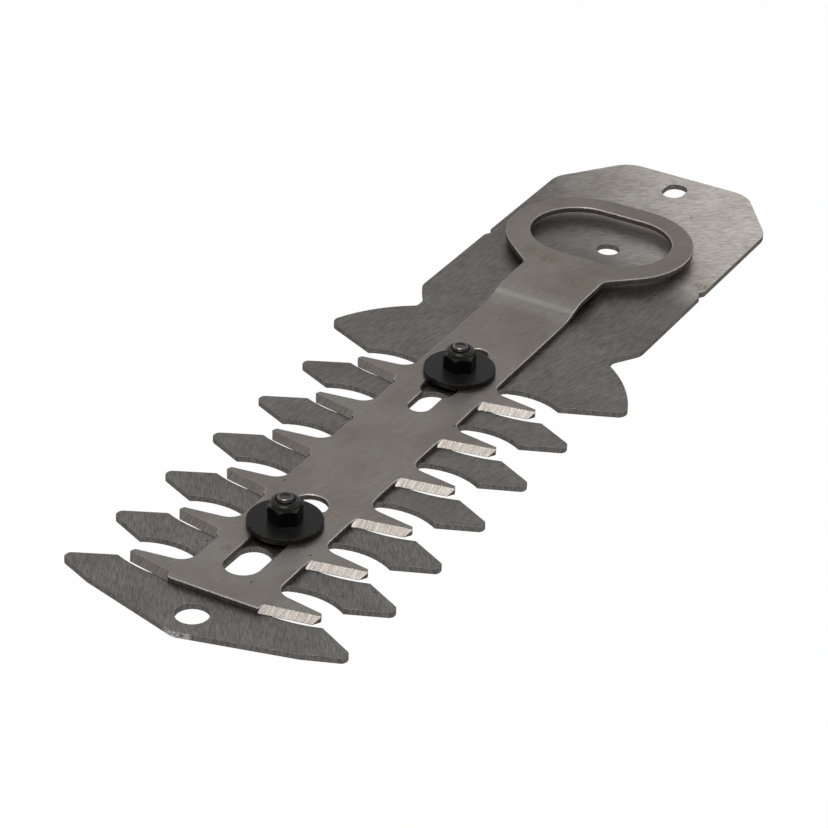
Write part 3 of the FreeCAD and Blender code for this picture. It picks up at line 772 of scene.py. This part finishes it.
@dataclass(frozen=True)
class CutterSteel(PlateSteel):
    """The cutter's steel, with a painted highlight across its joggle."""

    # The painted highlight along the joggle's bend, by its place along Y and half width in
    # millimetres.
    joggle_highlight_colour: Colour = grey(0.3, 0.05)
    joggle_highlight_place: float = -39.2
    joggle_highlight_half: float = 1.6
    joggle_highlight_strength: float = 0.6

    def ground(self, wiring: Wiring, lines: NodeSocket) -> NodeSocket:
        """Colour the flat faces, with the painted highlight across the joggle.

        Args:
            wiring: Adds nodes to the material.
            lines: The grinding lines.

        Returns:
            The colour's socket.
        """
        plain = super().ground(wiring, lines)
        start, middle, end = ((self.joggle_highlight_place + side * self.joggle_highlight_half) * MM for side in (-1, 0, 1))
        rise = Across().put(wiring, Start=start, End=middle).outputs["Share"]
        fall = Across().put(wiring, Start=middle, End=end).outputs["Share"]
        joggle_highlight = wiring.math("MULTIPLY", rise, wiring.math("SUBTRACT", 1.0, fall))
        return wiring.mix(wiring.math("MULTIPLY", joggle_highlight, self.joggle_highlight_strength), plain, self.joggle_highlight_colour)


@dataclass(frozen=True)
class BlackOxide(Finish):
    """Blackened steel, a little cloudy, with worn edges that also carry a painted highlight as a thin
    bright line.
    """

    metallic: float = 0.0
    worn_and_highlight_colour: Colour = grey(0.22, 0.1)
    wear_and_highlight: float = 0.5
    cloud_size: float = 2.5
    cloud_strength: float = 0.5
    cloud_gain: float = 1.7
    grain_size: float = 0.5
    specular: float = 0.12
    edge_width: float = 0.12
    relief: float = 0.0015

    def build(self) -> Material:
        """Blend the black skin with its worn edges and their painted highlight.

        Returns:
            The material.
        """
        wiring, shader, material = self.start()
        shader.inputs["Specular IOR Level"].default_value = self.specular
        clouds = Clouds().put(wiring, Size=self.cloud_size * MM).outputs["Tone"]
        cloudy = wiring.math("MULTIPLY", clouds, self.cloud_strength)
        colour = wiring.mix(cloudy, self.colour, grey(self.colour[1] * self.cloud_gain, 0.06))
        edges = WornEdgesAndHighlight().put(wiring, Width=self.edge_width * MM)
        grain = Clouds().put(wiring, Size=self.grain_size * MM).outputs["Tone"]
        # Worn edges with a painted highlight: a thin bright line along the upper edges.
        if self.wear_and_highlight > 0:
            wear_and_highlight_mask = wiring.math("MULTIPLY", edges.outputs["Edge"], grain)
            wear_and_highlight_mask = wiring.math("MULTIPLY", wear_and_highlight_mask, self.wear_and_highlight, clamp=True)
            colour = wiring.mix(wear_and_highlight_mask, colour, self.worn_and_highlight_colour)
            wiring.feed(shader.inputs["Metallic"], wear_and_highlight_mask)
        wiring.feed(shader.inputs["Base Color"], colour)
        rough = wiring.spread(clouds, 0, 1, (self.roughness - 0.04, self.roughness + 0.06))
        wiring.feed(shader.inputs["Roughness"], rough)
        self.bump(wiring, shader, grain, self.relief, edges.outputs["Rounded"])
        return material


@dataclass(frozen=True)
class TurnedSteel(Finish):
    """Plain turned steel with faint rings."""

    ring_length: float = 4.0
    ring_width: float = 0.1
    ring_strength: float = 0.5
    ring_shade: float = 0.6

    def build(self) -> Material:
        """Add faint rings round the axis.

        Returns:
            The material.
        """
        wiring, shader, material = self.start()
        rings = self.lines(wiring, 0.0, self.ring_length, self.ring_width)
        marked = wiring.math("MULTIPLY", rings, self.ring_strength)
        tone = wiring.mix(marked, self.colour, grey(self.colour[1] * self.ring_shade, 0.03))
        wiring.feed(shader.inputs["Base Color"], tone)
        rough = wiring.spread(rings, 0, 1, (self.roughness, self.roughness + 0.1))
        wiring.feed(shader.inputs["Roughness"], rough)
        return material


@dataclass(frozen=True)
class MouldedNylon(Finish):
    """Dark moulded plastic."""

    metallic: float = 0.0
    cloud_size: float = 0.6
    cloud_strength: float = 0.4
    cloud_gain: float = 1.5

    def build(self) -> Material:
        """Add a faint uneven sheen.

        Returns:
            The material.
        """
        wiring, shader, material = self.start()
        clouds = Clouds().put(wiring, Size=self.cloud_size * MM).outputs["Tone"]
        rough = wiring.spread(clouds, 0, 1, (self.roughness, self.roughness + 0.15))
        wiring.feed(shader.inputs["Roughness"], rough)
        cloudy = wiring.math("MULTIPLY", clouds, self.cloud_strength)
        tone = wiring.mix(cloudy, self.colour, grey(self.colour[1] * self.cloud_gain))
        wiring.feed(shader.inputs["Base Color"], tone)
        return material


def dress(node: str, material: Material) -> Object:
    """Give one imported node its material.

    Args:
        node: The node's name.
        material: The material.

    Returns:
        The node's object.
    """
    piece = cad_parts[node]
    piece.data.materials.clear()
    piece.data.materials.append(material)
    log.info("dressed %s with %s", node, material.name)
    return piece


@dataclass(frozen=True)
class Softening:
    """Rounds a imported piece's sharp edges."""

    width: float
    weld_distance: float = 0.002 * MM
    sharp_angle: float = 32.0
    segments: int = 2

    def add(self, piece: Object) -> None:
        """Weld the piece's facets, round its edges and keep its faces flat.

        Args:
            piece: The object.
        """
        weld = piece.modifiers.new("joined", "WELD")
        weld.merge_threshold = self.weld_distance
        bevel = piece.modifiers.new("rounded_edges", "BEVEL")
        bevel.width = self.width
        bevel.segments = self.segments
        bevel.limit_method = "ANGLE"
        bevel.angle_limit = math.radians(self.sharp_angle)
        bevel.use_clamp_overlap = True
        normals = piece.modifiers.new("flat_faces", "WEIGHTED_NORMAL")
        normals.keep_sharp = False


def level(radius: float, height: float) -> Ring:
    """A plain round ring at one height."""
    return lambda angle: (radius, height)


def spun(name: str, rings: list[Ring], steps: int) -> Object:
    """Make a closed piece of rings round the Z axis.

    Args:
        name: The piece's name.
        rings: For each ring, a function from an angle to a radius and a height.
        steps: How many points each ring has.

    Returns:
        The new object, at the origin.
    """
    mesh = bmesh.new()
    loops = []
    for ring in rings:
        loop = []
        for step in range(steps):
            angle = 2 * math.pi * step / steps
            radius, height = ring(angle)
            loop.append(mesh.verts.new((radius * math.cos(angle), radius * math.sin(angle), height)))
        loops.append(loop)
    for number, loop in enumerate(loops):
        above = loops[(number + 1) % len(loops)]
        for step in range(steps):
            beside = (step + 1) % steps
            mesh.faces.new((loop[step], loop[beside], above[beside], above[step]))
    bmesh.ops.recalc_face_normals(mesh, faces=mesh.faces)
    data = bpy.data.meshes.new(name)
    mesh.to_mesh(data)
    mesh.free()
    piece = bpy.data.objects.new(name, data)
    bpy.context.scene.collection.objects.link(piece)
    for face in data.polygons:
        face.use_smooth = True
    return piece


def seat(piece: Object, low: Vector, high: Vector) -> None:
    """Stand a spun piece in the middle of a node's box, on its floor."""
    piece.location = Vector(((low.x + high.x) / 2, (low.y + high.y) / 2, low.z))


@dataclass
class LockNut:
    """Hexagon lock nut with chamfered corners and a domed collar, in place of the plain node."""

    stud: Stud
    material: Material
    turn: float
    across_flats: float = 7.2 * MM
    hexagon_height: float = 4.0 * MM
    corner_sharpness: float = 34.0
    chamfer_slope: float = math.tan(math.radians(38))
    rounding: float = 0.12 * MM
    seat_width: float = 0.2 * MM
    collar_radius: float = 3.5 * MM
    collar_lift: float = 0.25 * MM
    dome_radius: float = 0.85 * MM
    mouth_radius: float = 2.34 * MM
    bore_radius: float = 2.1 * MM
    lip: float = 0.4 * MM
    steps: int = 120
    dome_steps: int = 9

    def hexagon(self, angle: float) -> float:
        """Measure the rounded hexagon in one direction.

        Args:
            angle: The direction. Flats face +X and -X, turned by the nut's own turn.

        Returns:
            The radius.
        """
        total = 0.0
        for side in range(6):
            facing = math.cos(angle - math.radians(self.turn) - side * math.pi / 3)
            total += max(0.0, facing) ** self.corner_sharpness
        return self.across_flats / 2 / total ** (1 / self.corner_sharpness)

    def side_ring(self, height: float, inset: float) -> Ring:
        """A level ring of the hexagon's side."""
        return lambda angle: (self.hexagon(angle) - inset, height)

    def chamfer_ring(self, height: float) -> Ring:
        """Follow the hexagon's side where the chamfer's cone cuts it, lower at the corners.

        Args:
            height: The ring's height at the middle of each flat.

        Returns:
            The ring's function.
        """
        def ring(angle: float) -> tuple[float, float]:
            """The radius and the height in one direction."""
            radius = self.hexagon(angle)
            return (radius, height - (radius - self.across_flats / 2) * self.chamfer_slope)
        return ring

    def dome(self, top: float) -> list[Ring]:
        """Round the collar off.

        Args:
            top: The nut's height.

        Returns:
            The rings, from the collar's side to its top.
        """
        rings = []
        for step in range(self.dome_steps + 1):
            angle = math.pi / 2 * step / self.dome_steps
            radius = self.collar_radius - self.dome_radius * (1 - math.cos(angle))
            rings.append(level(radius, top - self.dome_radius * (1 - math.sin(angle))))
        return rings

    def build(self) -> Object:
        """Make the nut, seat it on its stud and hide the plain node.

        Returns:
            The nut.
        """
        node = f"{self.stud.value}_lock_nut"
        low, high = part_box(node)
        top = high.z - low.z
        flat = self.across_flats / 2
        shoulder = self.hexagon_height + self.rounding * self.chamfer_slope
        rings = [
            level(self.bore_radius, 0.0),
            level(flat - self.seat_width, 0.0),
            self.side_ring(0.0, self.rounding),
            self.side_ring(self.rounding, 0.0),
            self.chamfer_ring(self.hexagon_height - self.rounding),
            self.chamfer_ring(self.hexagon_height),
            level(flat - self.rounding / 2, shoulder),
            level(self.collar_radius, self.hexagon_height + self.collar_lift),
            *self.dome(top),
            level(self.mouth_radius + self.rounding, top),
            level(self.mouth_radius, top - self.rounding),
            level(self.mouth_radius, top - self.lip),
            level(self.bore_radius, top - self.lip),
        ]
        nut = spun(f"{node}_form", rings, self.steps)
        seat(nut, low, high)
        nut.data.materials.append(self.material)
        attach(nut, COMB_BODY)
        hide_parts(node)
        log.info("built %s", nut.name)
        return nut


@dataclass
class ThreadedStud:
    """Shouldered stud with a real thread and a chamfered end, in place of the plain node."""

    stud: Stud
    material: Material
    chamfer_material: Material
    radius: float = 2.0 * MM
    neck_radius: float = 2.5 * MM
    head_radius: float = 3.7 * MM
    head_thickness: float = 0.7 * MM
    neck_top: float = 1.45 * MM
    pitch: float = 0.7 * MM
    depth: float = 0.36 * MM
    flank_slope: float = 3.4
    root_share: float = 1.35
    end_radius: float = 1.5 * MM
    end_rounding: float = 0.05 * MM
    end_rim: float = 0.12 * MM
    chamfer: float = 0.45 * MM
    thread_length: float = 5.5 * MM
    core_radius: float = 0.02 * MM
    steps: int = 72
    rings_per_turn: int = 8

    def thread_ring(self, height: float, top: float) -> Ring:
        """One ring of the thread.

        Args:
            height: The ring's height.
            top: The stud's top.

        Returns:
            The ring's function, a helical groove held under the end's chamfer.
        """
        def ring(angle: float) -> tuple[float, float]:
            """The radius and the height in one direction."""
            phase = (height / self.pitch - angle / (2 * math.pi)) % 1.0
            groove = min(1.0, max(0.0, self.root_share - abs(phase - 0.5) * self.flank_slope))
            radius = self.radius - self.depth * groove
            limit = self.end_radius + (top - height) * (self.radius - self.end_radius) / self.chamfer
            return (min(radius, limit), height)
        return ring

    def rings(self, top: float) -> list[Ring]:
        """List the stud's rings from its head to its end.

        Args:
            top: The stud's height.

        Returns:
            The rings.
        """
        rings = [
            level(self.core_radius, 0.0),
            level(self.head_radius, 0.0),
            level(self.head_radius, self.head_thickness),
            level(self.neck_radius, self.head_thickness),
            level(self.neck_radius, self.neck_top),
            level(self.radius, self.neck_top),
            level(self.radius, top - self.thread_length - self.pitch / 2),
        ]
        count = round(self.thread_length / self.pitch * self.rings_per_turn)
        for number in range(count + 1):
            rings.append(self.thread_ring(top - self.thread_length * (1 - number / count), top))
        return rings + [
            level(self.end_radius - self.end_rounding, top),
            level(self.end_radius - self.end_rim, top),
            level(self.core_radius, top),
        ]

    def shine_chamfer(self, stud: Object, top: float) -> None:
        """Give the end's chamfer its own material.

        Args:
            stud: The stud.
            top: The stud's height.
        """
        stud.data.materials.append(self.chamfer_material)
        for face in stud.data.polygons:
            outside = math.hypot(face.center.x, face.center.y) > self.end_radius - 0.1 * MM
            if outside and face.center.z > top - self.chamfer * 0.8:
                face.material_index = 1

    def build(self) -> Object:
        """Make the stud, seat it and hide the plain node.

        Returns:
            The stud.
        """
        node = f"{self.stud.value}_bolt"
        low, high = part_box(node)
        top = high.z - low.z
        stud = spun(f"{node}_form", self.rings(top), self.steps)
        seat(stud, low, high)
        stud.data.materials.append(self.material)
        self.shine_chamfer(stud, top)
        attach(stud, COMB_BODY)
        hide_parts(node)
        log.info("built %s", stud.name)
        return stud


@dataclass
class Fasteners:
    """Everything on one stud."""

    stud: Stud
    nut_turn: float
    washer_rounding: float = 0.14 * MM
    washer: Finish = BlackOxide(
        "washer_black",
        grey(0.006),
        roughness=0.34,
        # Worn edge colour and strength, with a painted highlight on the rims.
        worn_and_highlight_colour=grey(0.2, 0.16),
        wear_and_highlight=1.4,
        specular=0.09,
        edge_width=0.22,
    )
    nut: Finish = BlackOxide(
        "nut_black",
        grey(0.0025, 0.02),
        roughness=0.15,
        # Worn edge colour and strength, with a painted highlight on the hexagon's edges.
        worn_and_highlight_colour=grey(0.16, 0.08),
        wear_and_highlight=1.2,
        specular=0.2,
        edge_width=0.2,
    )
    stud_end: Finish = BlackOxide(
        "stud_black",
        grey(0.008, 0.03),
        roughness=0.3,
        wear_and_highlight=0.0,
        cloud_size=4.0,
        specular=0.14,
    )
    stud_chamfer: Finish = TurnedSteel("stud_chamfer", grey(0.13, 0.05), roughness=0.2)
    bush: Finish = TurnedSteel("bush_steel", grey(0.12, 0.02), roughness=0.4)
    nylon: Finish = MouldedNylon("nylon_black", grey(0.02), roughness=0.5)

    def build(self) -> None:
        """Dress the plain nodes and build the nut and the stud."""
        where = self.stud.value
        Softening(self.washer_rounding).add(dress(f"{where}_washer", self.washer.build()))
        dress(f"{where}_guide_bush", self.bush.build())
        dress(f"{where}_nut_insert", self.nylon.build())
        LockNut(self.stud, self.nut.build(), self.nut_turn).build()
        ThreadedStud(self.stud, self.stud_end.build(), self.stud_chamfer.build()).build()


@dataclass
class Comb:
    """The fixed comb plate."""

    edge_rounding: float = 0.03 * MM
    finish: Finish = CombSteel(
        "comb_steel",
        grey(0.14, 0.03),
        roughness=0.42,
        dark_line=grey(0.085, 0.05),
        bright_line=grey(0.22, 0.03),
        line_contrast=0.75,
        wall_colour=grey(0.17, 0.06),
        wall_mark=grey(0.085, 0.08),
        # Worn edges with a painted highlight along the upper edges.
        edge_wear_and_highlight=0.35,
        edge_wear_and_highlight_colour=grey(0.3, 0.02),
        pit_share=0.18,
        spots=(
            Spot(29.0, -5.0, 3.4, 0.9, 0.4),
            Spot(21.0, 5.0, 2.2, 0.5, 0.4),
            Spot(-20.0, -185.0, 9.0, 0.35, 0.9),
        ),
        nicks=(
            Spot(-1.1, -204.4, 2.6, 0.9, 0.3),
            Spot(0.4, -204.3, 2.0, 0.9, 0.3),
            Spot(2.3, -204.5, 1.8, 0.9, 0.3),
            Spot(3.5, -204.6, 1.0, 0.7, 0.22),
            Spot(19.5, -199.1, 1.0, 0.7, 0.22),
            Spot(14.9, -200.0, 0.9, 0.7, 0.22),
        ),
    )

    def build(self) -> None:
        """Dress the comb."""
        Softening(self.edge_rounding).add(dress("lower_blade", self.finish.build()))


@dataclass
class Cutter:
    """The sliding cutter."""

    edge_rounding: float = 0.2 * MM
    finish: Finish = CutterSteel(
        "cutter_steel",
        grey(0.195, 0.06),
        roughness=0.38,
        dark_line=grey(0.16, 0.07),
        bright_line=grey(0.23, 0.06),
        line_turn=16.0,
        line_contrast=0.55,
        line_length=3.0,
        line_width=0.35,
        wall_colour=grey(0.10, 0.14),
        wall_mark=grey(0.05, 0.14),
        bevel_colour=grey(0.15, 0.07),
        bevel_mark=grey(0.083, 0.14),
        # Worn edges with a strong painted highlight along the front edge and the yoke's rim.
        edge_wear_and_highlight=0.9,
        edge_width=0.6,
        edge_wear_and_highlight_colour=grey(0.6, 0.03),
        pit_share=0.12,
        spots=(
            Spot(-14.0, -17.2, 3.0, 0.6, 0.7),
            Spot(-8.0, -18.5, 4.5, 0.6, 0.6),
            Spot(5.9, -19.0, 3.5, 0.5, 0.8),
            Spot(4.0, -26.0, 6.0, 0.3, 1.2),
            Spot(-6.0, -174.0, 2.6, 0.6, 0.7),
            Spot(12.7, -187.3, 2.4, 0.6, 0.6),
            Spot(8.0, -150.0, 5.0, 0.3, 0.9),
        ),
    )

    def build(self) -> None:
        """Dress the cutter."""
        Softening(self.edge_rounding).add(dress("upper_blade", self.finish.build()))


@dataclass
class Lamp:
    """One soft box."""

    name: str
    direction: tuple[float, float, float]
    distance: float
    size: tuple[float, float]
    brightness: float
    aim: tuple[float, float, float] = (0.0, -0.08, 0.0)

    def build(self) -> None:
        """Hang the lamp in its direction from its aim, and turn it towards that."""
        data = bpy.data.lights.new(self.name, "AREA")
        data.shape = "RECTANGLE"
        data.size, data.size_y = self.size
        data.energy = math.pi * self.size[0] * self.size[1] * self.brightness
        lamp = bpy.data.objects.new(self.name, data)
        bpy.context.scene.collection.objects.link(lamp)
        towards = Vector(self.direction).normalized()
        lamp.location = Vector(self.aim) + towards * self.distance
        lamp.rotation_euler = towards.to_track_quat("Z", "Y").to_euler()
        lamp.visible_camera = False
        log.info("hung %s", self.name)


@dataclass
class Camera:
    """The photograph's view of the blade."""

    azimuth: float = 28.509
    elevation: float = 30.939
    roll: float = 2.280
    distance: float = 754.883 * MM
    aim: tuple[float, float, float] = (-1.255 * MM, -99.722 * MM, 1.45 * MM)
    focal_pixels: float = 3190.9
    frame_pixels: float = 828.0
    sensor: float = 36.0
    nearest: float = 0.02
    farthest: float = 20.0

    def build(self) -> None:
        """Place the camera."""
        data = bpy.data.cameras.new("camera")
        data.sensor_width = self.sensor
        data.lens = self.sensor * self.focal_pixels / self.frame_pixels
        data.clip_start, data.clip_end = self.nearest, self.farthest
        camera = bpy.data.objects.new("camera", data)
        bpy.context.scene.collection.objects.link(camera)
        a, e, r = (math.radians(value) for value in (self.azimuth, self.elevation, self.roll))
        back = Vector((math.sin(a) * math.cos(e), -math.cos(a) * math.cos(e), math.sin(e)))
        right = Vector((math.cos(a), math.sin(a), 0.0))
        up = back.cross(right)
        across = right * math.cos(r) + up * math.sin(r)
        upward = up * math.cos(r) - right * math.sin(r)
        turn = Matrix((across, upward, back)).transposed()
        stand = Vector(self.aim) + back * self.distance
        camera.matrix_world = Matrix.Translation(stand) @ turn.to_4x4()
        bpy.context.scene.camera = camera
        log.info("placed the camera")


@dataclass
class Studio:
    """Floor, sky and lamps."""

    floor_half: float = 3.0
    floor_gap: float = 0.02 * MM
    floor_colour: Colour = grey(0.97)
    floor_roughness: float = 0.9
    floor_specular: float = 0.1
    floor_white: float = 0.97
    sky: float = 0.22
    lamps: tuple[Lamp, ...] = (
        Lamp("overhead", (0.08, -0.42, 0.905), 1.4, (0.85, 0.85), 6.6),
        Lamp("side", (0.85, 0.45, 0.35), 1.6, (1.4, 0.7), 0.9),
    )

    def shown(self, wiring: Wiring) -> NodeSocket:
        """Tell whether a ray comes from the camera, straight or by way of metal or glass.

        Args:
            wiring: Adds nodes to the material.

        Returns:
            The answer's socket, 0 or 1.
        """
        seen = wiring.add("ShaderNodeLightPath")
        direct = wiring.math("MAXIMUM", seen.outputs["Is Camera Ray"], seen.outputs["Is Glossy Ray"])
        return wiring.math("MAXIMUM", direct, seen.outputs["Is Transmission Ray"])

    def floor_material(self) -> Material:
        """Make a white that still takes a shadow.

        Returns:
            The material.
        """
        material = bpy.data.materials.new("floor_white")
        material.use_nodes = True
        wiring = Wiring(material.node_tree)
        shader = material.node_tree.nodes["Principled BSDF"]
        shader.inputs["Base Color"].default_value = self.floor_colour
        shader.inputs["Roughness"].default_value = self.floor_roughness
        shader.inputs["Specular IOR Level"].default_value = self.floor_specular
        white = wiring.add("ShaderNodeEmission")
        white.inputs["Strength"].default_value = 1.0
        share = wiring.math("MULTIPLY", self.shown(wiring), self.floor_white)
        mixed = wiring.add("ShaderNodeMixShader", share, shader.outputs[0], white.outputs[0])
        output = material.node_tree.nodes["Material Output"]
        wiring.feed(output.inputs["Surface"], mixed.outputs[0])
        return material

    def floor(self) -> None:
        """Lay a wide floor that shows white and keeps the object's shadow."""
        mesh = bmesh.new()
        bmesh.ops.create_grid(mesh, x_segments=1, y_segments=1, size=self.floor_half)
        data = bpy.data.meshes.new("floor")
        mesh.to_mesh(data)
        mesh.free()
        piece = bpy.data.objects.new("floor", data)
        piece.location.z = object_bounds()[0].z - self.floor_gap
        bpy.context.scene.collection.objects.link(piece)
        data.materials.append(self.floor_material())
        piece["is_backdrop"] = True

    def world(self) -> None:
        """Set an even sky that shows as white, also in metal."""
        world = bpy.data.worlds.new("studio")
        world.use_nodes = True
        bpy.context.scene.world = world
        wiring = Wiring(world.node_tree)
        background = world.node_tree.nodes["Background"]
        background.inputs["Color"].default_value = WHITE
        strength = wiring.spread(self.shown(wiring), 0, 1, (self.sky, 1.0))
        wiring.feed(background.inputs["Strength"], strength)

    def build(self) -> None:
        """Set the stage."""
        self.floor()
        self.world()
        for lamp in self.lamps:
            lamp.build()
        bpy.context.scene.view_settings.view_transform = "Standard"
        log.info("set the stage")


def main() -> None:
    """Dress and build every piece, and set the studio and the camera."""
    logging.basicConfig(level=logging.INFO, format="%(name)s: %(message)s")
    Comb().build()
    Cutter().build()
    Fasteners(Stud.FRONT, nut_turn=10.5).build()
    Fasteners(Stud.REAR, nut_turn=9.0).build()
    Studio().build()
    Camera().build()


if __name__ == "__main__":
    main()
